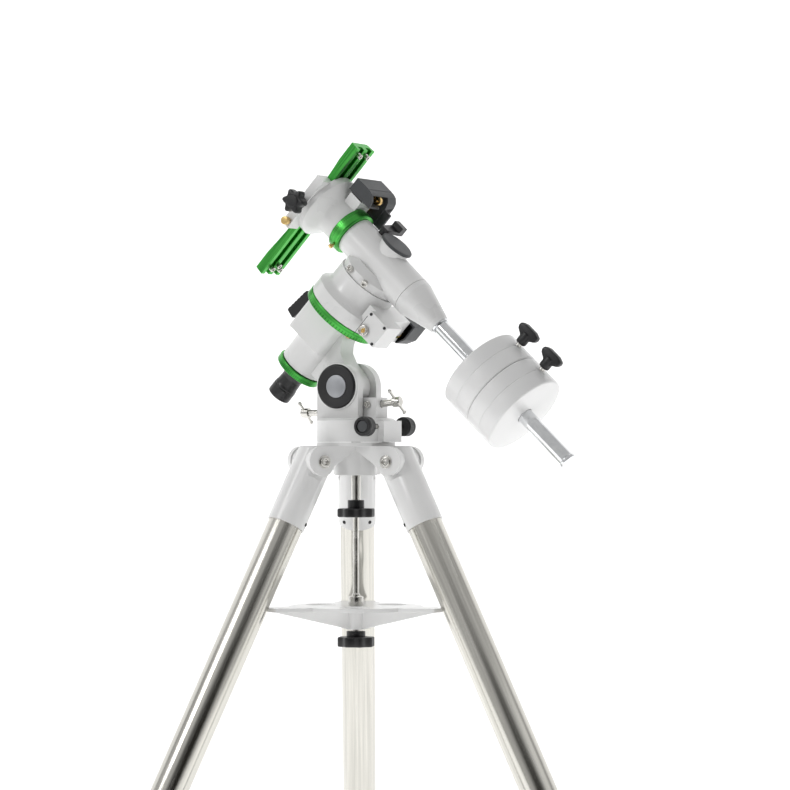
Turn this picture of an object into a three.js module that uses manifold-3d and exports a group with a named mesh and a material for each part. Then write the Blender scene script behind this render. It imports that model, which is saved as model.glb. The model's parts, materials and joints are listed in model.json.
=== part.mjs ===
// A German equatorial mount in its home position on a three-legged tube tripod. Millimetres, +Z up.
// +X is north, the side to which the polar axis leans, and the floor is Z = 0.
import * as THREE from 'three';
import { mergeVertices } from 'three/addons/utils/BufferGeometryUtils.js';
import Module from 'manifold-3d';

const wasm = await Module();
wasm.setup();

// ---------------------------------------------------------------- driving dimensions
const GAP = 0.3;                                      // air between two pieces that touch
const FACETS = 0.55;                                  // share of the drawn facets that a round piece keeps
const HUB_HEIGHT = 665;                               // floor to the top of the tripod hub
const STANCE_OFFSET = 96;                             // azimuth axis to the middle of the stance, along X
const LATITUDE = THREE.MathUtils.degToRad(46.7);      // altitude of the polar axis
const AXES = { x: 38.6, z: 224 };                     // where the two axes cross, above the hub top
const PIVOT = { x: -10, z: 70 };                      // altitude pivot, above the hub top

const LEG_AZIMUTHS = { north: 0, far: 120, near: 240 };
const LEG_TILT = THREE.MathUtils.degToRad(26.4);
const LEG_PIVOT = { radius: 61.5, z: -25, hole: 4.3 };
const EAR = { inner: 22, outer: 30, end: 64, round: 18.5, z: -23.5 };
const HUB = { plate: 50, plateDepth: 5, barrel: 27, depth: 42, bore: 6.7 };
const UPPER_TUBE = { radius: 22.25, bore: 20.9, top: -41, bottom: -638 };
const LOWER_TUBE = { radius: 19.05, bore: 17.6, top: -170, bottom: -690 };
const SOCKET = { radius: 24.2, bore: 22.6, top: -22.6, bottom: -88 };
const COLLAR = { radius: 27.5, top: -612, bottom: -656, screwZ: -647 };
const FOOT = { radius: 22, top: -674 };
const ROD = { radius: 6.3, thin: 3.75, thread: 5.3, top: 24, step: -193, bottom: -256 };
const MOUNTING_KNOB = { radius: 24.2, neck: 10.5, top: -73.5, shoulder: -84, bottom: -95 };
const TRAY = { disc: 85, reach: 126, armHalf: 21, top: -207, thick: 5, hub: 14, bottom: -237 };
const TRAY_HOLE = { radius: 20, at: 52 };
const TRAY_KNOB = { radius: 24, neck: 12, top: -239.3, shoulder: -246.5, bottom: -259 };

const BASE = { radius: 50, top: 30, chamfer: 3 };
const NORTH_BLOCK = { x: 54, half: 22, top: 26.8 };
const PEG = { x: 43, radius: 4.5, top: 23.5 };
const AZIMUTH_SCREW = { radius: 3, z: 19.5, tip: PEG.radius + 0.4 };
const AZIMUTH_KNOB = { radius: 12.5, length: 15, near: -57.5, far: 42.5, bore: 10 };
const CHEEK = { radius: 30, inner: 16.5, outer: 29 };
const PIVOT_BOLT = { radius: 7, head: 24 };
const ALTITUDE_CAP = { radius: 28, face: 34 };
const ALTITUDE_SCREW = { radius: 4.3, tip: 1.5, head: 6.5, headLength: 10.7 };
const FRONT_SCREW = { x: 30, z: 47, slope: THREE.MathUtils.degToRad(7), tip: -33, end: 25,
    barAt: 30.5, bar: 20.5 };
const REAR_SCREW = { x: -30, z: 37, slope: 0, tip: -12.4, end: 39, barAt: 45, bar: 18 };
const TOMMY_BAR = { radius: 1.8, ball: 2.7, lean: THREE.MathUtils.degToRad(50) };

const HOUSING = { south: -36, north: 24, half: 35, top: -89.6, ledge: -134.5, bottom: -173, radius: 29.5 };
const WEB_HALF = 16;
const SPIGOT = { radius: 24, bottom: -183.5 };
const SHAFT = { radius: 17.5, bore: 13, bottom: -170 };
const DATE_RING = { radius: 31.5, bore: 24.4, top: -174.3, bottom: -183 };
const RA_CIRCLE = { radius: 52, bore: 30, top: -78.4, bottom: -89.2 };
const RA_WHEEL = { radius: 48, hub: 28, top: -61.5, shoulder: -72, bottom: -111 };
const RA_WORM = { x: 57, z: -63, thread: 8.6, shaft: 5, cap: 8 };
const RA_HEAD = { flange: 51.6, neck: 42, top: -27.3, bottom: -78 };
const CLUTCH_STEM = { radius: 5, z: -101 };

const BARREL = { radius: 26, top: -55, bottom: 57.7 };
const DEC_SHAFT = { radius: 12, top: -94, bottom: 64 };
const DEC_CIRCLE = { radius: 30.5, bore: 19, top: -70.7, bottom: -55.3 };
const DEC_WHEEL = { radius: 24, hub: 18, top: -88, shoulder: -75, bottom: -43 };
const DEC_WORM = { x: -82, z: 31.6, thread: 7.2, shaft: 4 };
const DEC_LEVER = { x: -28.5, y: 4 };
const SADDLE = { disc: 44, neck: 27, top: -115.7, bottom: -71.2 };
const DOVETAIL = { wide: 21.5, narrow: 18, base: -116, top: -130, length: 210, centre: -16, sag: 4.5 };
const CONE = { radius: 26, end: 13, top: 58, step: 66, bottom: 115 };
const BAR = { radius: 10, top: 68.5, bottom: 358, stop: 11.5, stopLength: 5 };
const WEIGHT = { radius: 56.5, bore: 10.4, thick: 43.5, first: 192 };

const FINISH = {
  paint: { color: 0xf1f0ee, roughness: 0.35, metalness: 0.0 },
  anodised: { color: 0x1f8f2a, roughness: 0.3, metalness: 0.8 },
  black: { color: 0x17181a, roughness: 0.5, metalness: 0.0 },
  grey: { color: 0x46494c, roughness: 0.55, metalness: 0.0 },
  nickel: { color: 0xbcc0c2, roughness: 0.25, metalness: 1.0 },
  steel: { color: 0xa9a59c, roughness: 0.32, metalness: 1.0 },
  chrome: { color: 0xd4d8da, roughness: 0.12, metalness: 1.0 },
  brass: { color: 0xc39a4b, roughness: 0.3, metalness: 1.0 },
  rubber: { color: 0x101112, roughness: 0.85, metalness: 0.0 },
};

// ---------------------------------------------------------------- solids
function toSolid(geometry) {
  const plain = new THREE.BufferGeometry();
  plain.setAttribute('position', geometry.getAttribute('position').clone());
  if (geometry.index) plain.setIndex(geometry.index.clone());
  const merged = mergeVertices(plain, 1e-4);
  const index = merged.index.array;
  const faces = [];
  for (let i = 0; i < index.length; i += 3) {
    const [a, b, c] = index.slice(i, i + 3);
    if (a !== b && b !== c && c !== a) faces.push(a, b, c);
  }
  const vertProperties = new Float32Array(merged.getAttribute('position').array);
  return new wasm.Manifold(new wasm.Mesh({ numProp: 3, vertProperties, triVerts: new Uint32Array(faces) }));
}

function toGeometry(solid) {
  const mesh = solid.getMesh();
  const geometry = new THREE.BufferGeometry();
  geometry.setAttribute('position', new THREE.BufferAttribute(mesh.vertProperties, 3));
  geometry.setIndex(new THREE.BufferAttribute(mesh.triVerts, 1));
  return geometry;
}

function join(...geometries) {
  return toGeometry(geometries.map(toSolid).reduce((sum, next) => sum.add(next)));
}

function cut(body, ...tools) {
  return toGeometry(tools.map(toSolid).reduce((rest, tool) => rest.subtract(tool), toSolid(body)));
}

function common(first, second) {
  return toGeometry(toSolid(first).intersect(toSolid(second)));
}

const facetCount = (segments) => 4 * Math.max(2, Math.round((segments * FACETS) / 4));

// A solid of revolution about Z from [radius, height] points that run up its outside.
function turned(points, segments = 32) {
  const profile = points.map(([radius, height]) => new THREE.Vector2(radius, height));
  return new THREE.LatheGeometry(profile, facetCount(segments)).rotateX(Math.PI / 2);
}

function rod(radius, low, high, segments = 24) {
  return turned([[0, low], [radius, low], [radius, high], [0, high]], segments);
}

// A cutter whose flats, not its corners, stand at the given radius.
function bore(radius, low, high, segments = 24) {
  return rod(radius / Math.cos(Math.PI / facetCount(segments)), low, high, segments);
}

function tube(radius, inner, low, high, segments = 32) {
  return turned([[inner, low], [radius, low], [radius, high], [inner, high], [inner, low]], segments);
}

function block(x0, x1, y0, y1, z0, z1) {
  const box = new THREE.BoxGeometry(x1 - x0, y1 - y0, z1 - z0);
  return box.translate((x0 + x1) / 2, (y0 + y1) / 2, (z0 + z1) / 2);
}

function outline(points) {
  return new THREE.Shape(points.map(([x, y]) => new THREE.Vector2(x, y)));
}

// A shape in the XY plane made thick along Z.
function plate(shape, low, high, curveSegments = 6) {
  const options = { depth: high - low, bevelEnabled: false, curveSegments };
  return new THREE.ExtrudeGeometry(shape, options).translate(0, 0, low);
}

// A shape in the XZ plane made thick along Y.
function slab(shape, low, high, curveSegments = 6) {
  return plate(shape, -high, -low, curveSegments).rotateX(Math.PI / 2);
}

const alongY = (geometry) => geometry.rotateX(-Math.PI / 2);
const alongX = (geometry) => geometry.rotateY(Math.PI / 2);

// The outline of a hand knob whose edge waves in and out.
function lobed(radius, depth, lobes, steps = 4) {
  const points = [];
  for (let i = 0; i < lobes * steps; i += 1) {
    const angle = (i / (lobes * steps)) * 2 * Math.PI;
    const reach = radius - (depth * (1 - Math.cos(angle * lobes))) / 2;
    points.push([reach * Math.cos(angle), reach * Math.sin(angle)]);
  }
  return outline(points);
}

function roundedBox(x0, x1, y0, y1, corner) {
  const shape = new THREE.Shape();
  shape.absarc(x1 - corner, y1 - corner, corner, 0, Math.PI / 2);
  shape.absarc(x0 + corner, y1 - corner, corner, Math.PI / 2, Math.PI);
  shape.absarc(x0 + corner, y0 + corner, corner, Math.PI, 1.5 * Math.PI);
  shape.absarc(x1 - corner, y0 + corner, corner, 1.5 * Math.PI, 2 * Math.PI);
  return shape;
}

function part(group, name, finish, geometry) {
  const mesh = new THREE.Mesh(geometry, new THREE.MeshStandardMaterial(FINISH[finish]));
  mesh.name = name;
  group.add(mesh);
}

// ---------------------------------------------------------------- tripod
function ear(side) {
  const shape = new THREE.Shape();
  shape.moveTo(10, EAR.z - EAR.round);
  shape.absarc(EAR.end, EAR.z, EAR.round, -Math.PI / 2, Math.PI / 2);
  shape.lineTo(10, EAR.z + EAR.round);
  const low = side > 0 ? EAR.inner : -EAR.outer;
  return slab(shape, low, low + EAR.outer - EAR.inner);
}

function hub(group) {
  let body = join(rod(HUB.plate, -HUB.plateDepth, -GAP, 48), rod(HUB.barrel, -HUB.depth,
      -HUB.plateDepth + 1, 32));
  for (const azimuth of Object.values(LEG_AZIMUTHS)) {
    const turn = THREE.MathUtils.degToRad(azimuth);
    const pin = alongY(rod(LEG_PIVOT.hole, -40, 40, 16)).translate(LEG_PIVOT.radius, 0, LEG_PIVOT.z);
    const pair = cut(join(ear(1), rod(HUB.barrel - 1, -HUB.depth, -HUB.plateDepth), ear(-1)), pin);
    body = join(body, pair.rotateZ(turn));
  }
  body = cut(body, bore(HUB.bore, -60, 10));
  const peg = rod(PEG.radius, -HUB.plateDepth + 1, PEG.top, 20).translate(PEG.x, 0, 0);
  part(group, 'tripod_hub', 'paint', join(body, peg));
}

function mountingBolt(group) {
  const spine = turned([
    [0, ROD.bottom], [ROD.thread, ROD.bottom], [ROD.thread, ROD.step], [ROD.thin, ROD.step],
    [ROD.thin, MOUNTING_KNOB.bottom + 1], [MOUNTING_KNOB.neck, MOUNTING_KNOB.bottom + 1],
    [MOUNTING_KNOB.neck, MOUNTING_KNOB.top], [ROD.radius, MOUNTING_KNOB.top], [ROD.radius, ROD.top],
    [0, ROD.top],
  ], 24);
  const grip = plate(lobed(MOUNTING_KNOB.radius, 3, 8), MOUNTING_KNOB.bottom, MOUNTING_KNOB.shoulder);
  part(group, 'mounting_bolt', 'nickel', join(spine, grip));
}

function tray(group) {
  let body = join(
    rod(TRAY.disc, TRAY.top - TRAY.thick, TRAY.top, 48),
    turned([[0, TRAY.bottom], [TRAY.hub - 2, TRAY.bottom], [TRAY.hub, TRAY.top - 2],
        [0, TRAY.top - 2]], 24),
  );
  const under = TRAY.top - TRAY.thick + 0.5;
  const holes = [];
  for (const azimuth of Object.values(LEG_AZIMUTHS)) {
    const turn = THREE.MathUtils.degToRad(azimuth);
    const arm = [[0, -34], [0, 34], [TRAY.disc, 30], [TRAY.reach, TRAY.armHalf],
        [TRAY.reach, -TRAY.armHalf],
      [TRAY.disc, -30]].reverse();
    const web = outline([[5, TRAY.bottom + 1], [TRAY.hub, TRAY.bottom + 1], [TRAY.reach - 4, under],
        [5, under]]);
    body = join(
      body,
      plate(outline(arm), TRAY.top - TRAY.thick, TRAY.top).rotateZ(turn),
      slab(web, -4, 4).rotateZ(turn),
    );
    holes.push(rod(TRAY_HOLE.radius, -230, -200, 24).translate(TRAY_HOLE.at, 0,
        0).rotateZ(turn + Math.PI / 3));
  }
  part(group, 'spreader_tray', 'paint', cut(body, ...holes, bore(ROD.thread + 0.4, -250, -200)));

  const neck = turned([[0, TRAY_KNOB.shoulder - 1], [TRAY_KNOB.neck, TRAY_KNOB.shoulder - 1],
    [TRAY_KNOB.neck, TRAY_KNOB.top], [0, TRAY_KNOB.top]]);
  const grip = plate(lobed(TRAY_KNOB.radius, 3, 8), TRAY_KNOB.bottom, TRAY_KNOB.shoulder);
  const socket = bore(ROD.thread + 0.4, ROD.bottom - 0.5, TRAY_KNOB.top + 5);
  part(group, 'tray_knob', 'black', cut(join(neck, grip), socket));
}

// Turns a shape that is level with the floor, about the leg pivot, into the leg's own leaning frame.
const level = (geometry) => geometry.rotateY(LEG_TILT);

function leg(group, name, azimuth) {
  const frame = new THREE.Group();
  const turn = THREE.MathUtils.degToRad(azimuth);
  frame.position.set(LEG_PIVOT.radius * Math.cos(turn), LEG_PIVOT.radius * Math.sin(turn), LEG_PIVOT.z);
  frame.rotation.set(0, -LEG_TILT, turn, 'ZYX');
  group.add(frame);

  const tongue = EAR.inner - 0.4;
  const top = -LEG_PIVOT.z - HUB.plateDepth - 0.5;
  const shoulder = cut(
    common(rod(SOCKET.radius, -34, 40, 36), block(-40, 40, -tongue, tongue, -40, 60)),
    level(block(-80, 80, -40, 40, top, 120)),
    level(block(-80, 0, -40, 40, 0, 120)),
  );
  const eye = alongY(rod(top, -tongue, tongue, 32));
  const socket = rod(SOCKET.radius, SOCKET.bottom, SOCKET.top, 36);
  const casting = cut(
    join(socket, shoulder, eye),
    rod(SOCKET.bore, SOCKET.bottom - 5, UPPER_TUBE.top + GAP, 32),
    alongY(rod(LEG_PIVOT.hole, -40, 40, 16)),
  );
  part(frame, `leg_${name}_casting`, 'paint', casting);
  part(frame, `leg_${name}_upper_tube`, 'steel',
    tube(UPPER_TUBE.radius, UPPER_TUBE.bore, UPPER_TUBE.bottom, UPPER_TUBE.top, 32));

  const slip = LOWER_TUBE.radius + 0.35;
  const grip = UPPER_TUBE.radius + 0.35;
  const seat = UPPER_TUBE.bottom - GAP;
  const sleeve = turned([[slip, COLLAR.bottom], [COLLAR.radius - 1.5, COLLAR.bottom],
    [COLLAR.radius, COLLAR.bottom + 3], [COLLAR.radius, COLLAR.top + 6], [COLLAR.radius - 2.5, COLLAR.top],
    [grip, COLLAR.top], [grip, seat], [slip, seat], [slip, COLLAR.bottom]], 32);
  const boss = alongX(rod(7, 23, 33, 16)).translate(0, 0, COLLAR.screwZ);
  const screwHole = alongX(rod(3.4, 10, 40, 16)).translate(0, 0, COLLAR.screwZ);
  const bossAndSleeve = cut(join(sleeve, boss), rod(slip, COLLAR.bottom - 1, seat + 0.1, 32), screwHole);
  part(frame, `leg_${name}_collar`, 'black', bossAndSleeve);

  const stem = alongX(rod(3, LOWER_TUBE.radius + 0.6, 37, 16));
  const star = alongX(plate(lobed(13, 3, 5), 35, 47));
  part(frame, `leg_${name}_lock_knob`, 'black', join(stem, star).translate(0, 0, COLLAR.screwZ));
  part(frame, `leg_${name}_lower_tube`, 'steel',
    tube(LOWER_TUBE.radius, LOWER_TUBE.bore, LOWER_TUBE.bottom, LOWER_TUBE.top, 32));

  const boot = turned([[0, -745], [FOOT.radius, -745], [FOOT.radius, FOOT.top + 3],
      [FOOT.radius - 1, FOOT.top],
    [slip, FOOT.top], [slip, LOWER_TUBE.bottom - GAP], [0, LOWER_TUBE.bottom - GAP]], 28);
  const floor = level(block(200, 500, -80, 80, -900, -HUB_HEIGHT - LEG_PIVOT.z));
  part(frame, `leg_${name}_foot`, 'rubber', cut(boot, floor));
}

// ---------------------------------------------------------------- azimuth base and altitude yoke
function cheek(low, high) {
  const shape = new THREE.Shape();
  shape.moveTo(PIVOT.x - CHEEK.radius, BASE.top - 5);
  shape.lineTo(PIVOT.x + CHEEK.radius, BASE.top - 5);
  shape.absarc(PIVOT.x, PIVOT.z, CHEEK.radius, 0, Math.PI);
  return slab(shape, low, high, 14);
}

// A solid along +X of an altitude screw's frame, set where the screw is: side +1 north, -1 south.
function placeScrew(geometry, screw, side) {
  if (side < 0) geometry.rotateZ(Math.PI);
  return geometry.rotateY(-screw.slope * side).translate(screw.x, 0, screw.z);
}

function azimuthBase(group) {
  const disc = turned([[0, 0], [BASE.radius, 0], [BASE.radius, BASE.top - BASE.chamfer],
    [BASE.radius - BASE.chamfer, BASE.top], [0, BASE.top]], 48);
  const body = join(
    disc,
    block(10, NORTH_BLOCK.x, -NORTH_BLOCK.half, NORTH_BLOCK.half, 0, NORTH_BLOCK.top),
    cheek(-CHEEK.outer, -CHEEK.inner),
    cheek(CHEEK.inner, CHEEK.outer),
    block(12, 38, -14, 14, BASE.top - 5, 56),
    block(-40, -32, -CHEEK.inner - 1, CHEEK.inner + 1, BASE.top - 5, 50),
  );
  const slot = 11.5;
  part(group, 'azimuth_base', 'paint', cut(
    body,
    bore(ROD.radius + 0.4, -5, 26),
    block(PEG.x - 6.2, PEG.x + 6.2, -slot, slot, -5, PEG.top + 0.8),
    alongY(bore(AZIMUTH_SCREW.radius + 0.35, -60, 60, 16)).translate(PEG.x, 0, AZIMUTH_SCREW.z),
    alongY(bore(AZIMUTH_KNOB.radius + 1, -60, -36)).translate(PEG.x, 0, AZIMUTH_SCREW.z),
    alongY(bore(AZIMUTH_KNOB.radius + 1, 36, 60)).translate(PEG.x, 0, AZIMUTH_SCREW.z),
    alongY(bore(PIVOT_BOLT.radius + 0.35, -60, 60, 32)).translate(PIVOT.x, 0, PIVOT.z),
    placeScrew(alongX(bore(ALTITUDE_SCREW.radius + 0.35, -25, 30, 20)), FRONT_SCREW, 1),
    placeScrew(alongX(bore(ALTITUDE_SCREW.radius + 0.35, -5, 25, 20)), REAR_SCREW, -1),
  ));

  const bolt = turned([[0, -CHEEK.outer + 0.2], [PIVOT_BOLT.radius, -CHEEK.outer + 0.2],
    [PIVOT_BOLT.radius, CHEEK.outer + GAP], [PIVOT_BOLT.head, CHEEK.outer + GAP],
    [PIVOT_BOLT.head, CHEEK.outer + 3], [PIVOT_BOLT.head - 2, CHEEK.outer + 4.5],
    [0, CHEEK.outer + 4.5]], 32);
  part(group, 'altitude_pivot_bolt', 'black', alongY(bolt).translate(PIVOT.x, 0, PIVOT.z));
  const cap = turned([[0, -ALTITUDE_CAP.face], [ALTITUDE_CAP.radius - 2.5, -ALTITUDE_CAP.face],
    [ALTITUDE_CAP.radius, -ALTITUDE_CAP.face + 2], [ALTITUDE_CAP.radius, -CHEEK.outer - GAP],
    [0, -CHEEK.outer - GAP]], 40);
  part(group, 'altitude_cap', 'black', alongY(cap).translate(PIVOT.x, 0, PIVOT.z));
}

function azimuthAdjuster(group, name, knobStart, side) {
  const mouth = side < 0 ? knobStart + AZIMUTH_KNOB.length : knobStart;
  const screwEnd = mouth + side * (AZIMUTH_KNOB.bore - 0.5);
  const [low, high] = [side * AZIMUTH_SCREW.tip, screwEnd].sort((a, b) => a - b);
  const screw = alongY(rod(AZIMUTH_SCREW.radius, low, high, 16));
  part(group, `azimuth_screw_${name}`, 'nickel', screw.translate(PEG.x, 0, AZIMUTH_SCREW.z));
  const grip = plate(lobed(AZIMUTH_KNOB.radius, 0.9, 12, 4), knobStart, knobStart + AZIMUTH_KNOB.length);
  const [floor, open] = [mouth + side * AZIMUTH_KNOB.bore, mouth - side * 2].sort((a, b) => a - b);
  const knob = alongY(cut(grip, bore(AZIMUTH_SCREW.radius + 0.35, floor, open, 16)));
  part(group, `azimuth_knob_${name}`, 'black', knob.translate(PEG.x, 0, AZIMUTH_SCREW.z));
}

function altitudeAdjuster(group, name, screw, side) {
  const shank = turned([[0, screw.tip], [ALTITUDE_SCREW.tip, screw.tip],
      [ALTITUDE_SCREW.radius, screw.tip + 3],
    [ALTITUDE_SCREW.radius, screw.end], [0, screw.end]], 20);
  part(group, `altitude_screw_${name}`, 'nickel', placeScrew(alongX(shank), screw, side));
  const start = screw.end + GAP;
  const head = alongX(turned([[0, start], [ALTITUDE_SCREW.head, start],
    [ALTITUDE_SCREW.head, start + ALTITUDE_SCREW.headLength - 1],
    [ALTITUDE_SCREW.head - 1, start + ALTITUDE_SCREW.headLength],
    [0, start + ALTITUDE_SCREW.headLength]], 20));
  let bar = rod(TOMMY_BAR.radius, -screw.bar, screw.bar, 12);
  for (const end of [-screw.bar, screw.bar]) {
    bar = join(bar, new THREE.SphereGeometry(TOMMY_BAR.ball, 8, 6).translate(0, 0, end));
  }
  bar = bar.rotateX(TOMMY_BAR.lean * side).translate(screw.barAt, 0, 0);
  part(group, `altitude_handle_${name}`, 'nickel', placeScrew(join(head, bar), screw, side));
}

// ---------------------------------------------------- polar axis: x towards the weights, z up the axis
// Brings a shape drawn level above the hub into the polar frame.
function intoPolar(geometry) {
  return geometry.translate(-AXES.x, 0, -AXES.z).rotateY(LATITUDE - Math.PI / 2);
}

function polarHousing(group) {
  const eye = intoPolar(alongY(rod(22, -WEB_HALF, WEB_HALF, 32)).translate(PIVOT.x, 0, PIVOT.z));
  const arm = intoPolar(block(PIVOT.x - 6, PIVOT.x + 6, -10, 10, 35, PIVOT.z - 10));
  const web = outline([[10, -165], [62, -167.5], [84, -164.5], [92, -145], [80, -126], [64, -122.5],
      [50, -121.5],
    [38.5, -117], [33, -110], [30, -103.7], [24, -95], [10, -95]]);
  const body = join(
    plate(roundedBox(HOUSING.south, HOUSING.north, -HOUSING.half, HOUSING.half, 8), HOUSING.ledge,
        HOUSING.top, 4),
    rod(HOUSING.radius, HOUSING.bottom, -120, 36),
    rod(SPIGOT.radius, SPIGOT.bottom, -120, 32),
    slab(web, -WEB_HALF, WEB_HALF),
    eye,
    arm,
  );
  part(group, 'polar_housing', 'paint', cut(
    body,
    bore(SHAFT.radius + 0.7, -200, -80, 32),
    bore(RA_WHEEL.hub + 0.4, RA_WHEEL.bottom - 1, -80, 48),
    intoPolar(alongY(bore(PIVOT_BOLT.radius + 0.35, -60, 60, 32)).translate(PIVOT.x, 0, PIVOT.z)),
    alongX(bore(CLUTCH_STEM.radius + 0.35, -60, -20, 20)).translate(0, 0, CLUTCH_STEM.z),
  ));
  part(group, 'date_ring', 'anodised', tube(DATE_RING.radius, DATE_RING.bore, DATE_RING.bottom,
      DATE_RING.top, 40));

  const scope = turned([[0, -225], [15.5, -225], [15.5, -209], [14.6, -208], [14, -194], [17, -187],
      [17.8, -184],
    [17.8, -171], [12.4, -171], [12.4, -60], [0, -60]], 28);
  part(group, 'polar_scope', 'black', scope);

  const stem = alongX(rod(CLUTCH_STEM.radius, -50, -29.5, 20)).translate(0, 0, CLUTCH_STEM.z);
  const handle = outline([[-43, -93], [-57, -96], [-62, -133], [-49, -136], [-43, -112]].reverse());
  part(group, 'ra_clutch_lever', 'black', join(stem, slab(handle, -8.5, 8.5)));
}

function rightAscensionHead(group) {
  part(group, 'ra_setting_circle', 'anodised',
    tube(RA_CIRCLE.radius, RA_CIRCLE.bore, RA_CIRCLE.bottom, RA_CIRCLE.top, 56));
  const column = turned([[SHAFT.bore, SHAFT.bottom], [SHAFT.radius, SHAFT.bottom],
      [SHAFT.radius, RA_HEAD.bottom],
    [RA_HEAD.flange, RA_HEAD.bottom], [RA_HEAD.flange, -60], [44, -54], [RA_HEAD.neck, -49],
    [RA_HEAD.neck, RA_HEAD.top], [SHAFT.bore, RA_HEAD.top], [SHAFT.bore, SHAFT.bottom]], 48);
  const wormBlock = join(block(47.5, 80.5, -42, -29, -70.5, -38), block(36, 80.5, -30, -6, -70.5, -38),
    block(36, 66, -7, 33, -72, -38));
  part(group, 'ra_head', 'paint', cut(
    join(column, cut(wormBlock, rod(30, -90, -20))),
    tube(RA_WHEEL.radius + 1.2, SHAFT.radius, RA_HEAD.bottom - 2, RA_WHEEL.top + 0.5, 48),
    alongY(bore(RA_WORM.thread + 0.5, -20, 40)).translate(RA_WORM.x, 0, RA_WORM.z),
    alongY(bore(RA_WORM.shaft + 0.4, -60, -15)).translate(RA_WORM.x, 0, RA_WORM.z),
  ));
  const wheel = turned([[SHAFT.radius + 0.4, RA_WHEEL.bottom], [RA_WHEEL.hub, RA_WHEEL.bottom],
    [RA_WHEEL.hub, RA_WHEEL.shoulder], [RA_WHEEL.radius - 2, RA_WHEEL.shoulder],
    [RA_WHEEL.radius, RA_WHEEL.shoulder + 2], [RA_WHEEL.radius, RA_WHEEL.top - 2],
    [RA_WHEEL.radius - 2, RA_WHEEL.top], [SHAFT.radius + 0.4, RA_WHEEL.top],
    [SHAFT.radius + 0.4, RA_WHEEL.bottom]], 48);
  part(group, 'ra_worm_wheel', 'brass', wheel);
  const worm = turned([[0, -46], [RA_WORM.cap, -46], [RA_WORM.cap, -42.4], [RA_WORM.shaft, -42.4],
    [RA_WORM.shaft, -16], [RA_WORM.thread, -14], [RA_WORM.thread, 14], [RA_WORM.shaft, 16],
    [RA_WORM.shaft, 38],
    [7.5, 38], [7.5, 43], [0, 43]], 20);
  part(group, 'ra_worm', 'brass', alongY(worm).translate(RA_WORM.x, 0, RA_WORM.z));
  const cover = outline([[44, -72], [68, -72], [75, -60], [75, -38], [44, -38]]);
  const hollow = outline([[46.5, -70.5], [67.2, -70.5], [72.5, -59], [72.5, -40.5], [46.5, -40.5]]);
  part(group, 'ra_motor_cover', 'grey', cut(slab(cover, 33.3, 62), slab(hollow, 30, 59.5)));
}

// -------------------------------------------------------- declination axis, in the same frame, along x
function declinationHousing(group) {
  const body = join(
    alongX(rod(BARREL.radius, BARREL.top, BARREL.bottom, 40)),
    rod(20, 10, 29.2, 32),
    turned([[0, -27], [40, -27], [40, -17], [30, -8], [0, -8]], 40),
  );
  part(group, 'dec_housing', 'paint', cut(
    body,
    alongX(bore(DEC_SHAFT.radius + 0.5, -70, 70)),
    alongX(bore(DEC_WHEEL.hub + 0.4, -70, DEC_WHEEL.bottom + 1, 40)),
    bore(15.4, 19.6, 40, 36),
    bore(CLUTCH_STEM.radius + 0.35, 20, 40, 20).translate(DEC_LEVER.x, DEC_LEVER.y, 0),
  ));
  part(group, 'dec_shaft', 'steel', alongX(rod(DEC_SHAFT.radius, DEC_SHAFT.top, DEC_SHAFT.bottom, 24)));
  const wheel = turned([[12.5, DEC_WHEEL.top], [DEC_WHEEL.radius, DEC_WHEEL.top], [DEC_WHEEL.radius, -77],
    [DEC_WHEEL.hub, DEC_WHEEL.shoulder], [DEC_WHEEL.hub, DEC_WHEEL.bottom], [12.5, DEC_WHEEL.bottom],
    [12.5, DEC_WHEEL.top]], 40);
  part(group, 'dec_worm_wheel', 'brass', alongX(wheel));
  part(group, 'dec_setting_circle', 'anodised',
    alongX(tube(DEC_CIRCLE.radius, DEC_CIRCLE.bore, DEC_CIRCLE.top, DEC_CIRCLE.bottom, 48)));

  const cap = turned([[0, 20], [15, 20], [15, 29.5], [22.5, 29.5], [22.5, 32.5], [21.5, 33.5],
      [0, 33.5]], 36);
  part(group, 'polar_cap', 'grey', cap);

  const blade = outline([[-5, -4], [5, -4], [8, 23], [8, 34], [-8, 34], [-8, 23]]);
  const lever = join(rod(CLUTCH_STEM.radius, 21, 33, 20), plate(blade, 31, 36), block(-8, 8, 23, 34,
      31, 43));
  part(group, 'dec_clutch_lever', 'black', lever.translate(DEC_LEVER.x, DEC_LEVER.y, 0));
}

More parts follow.
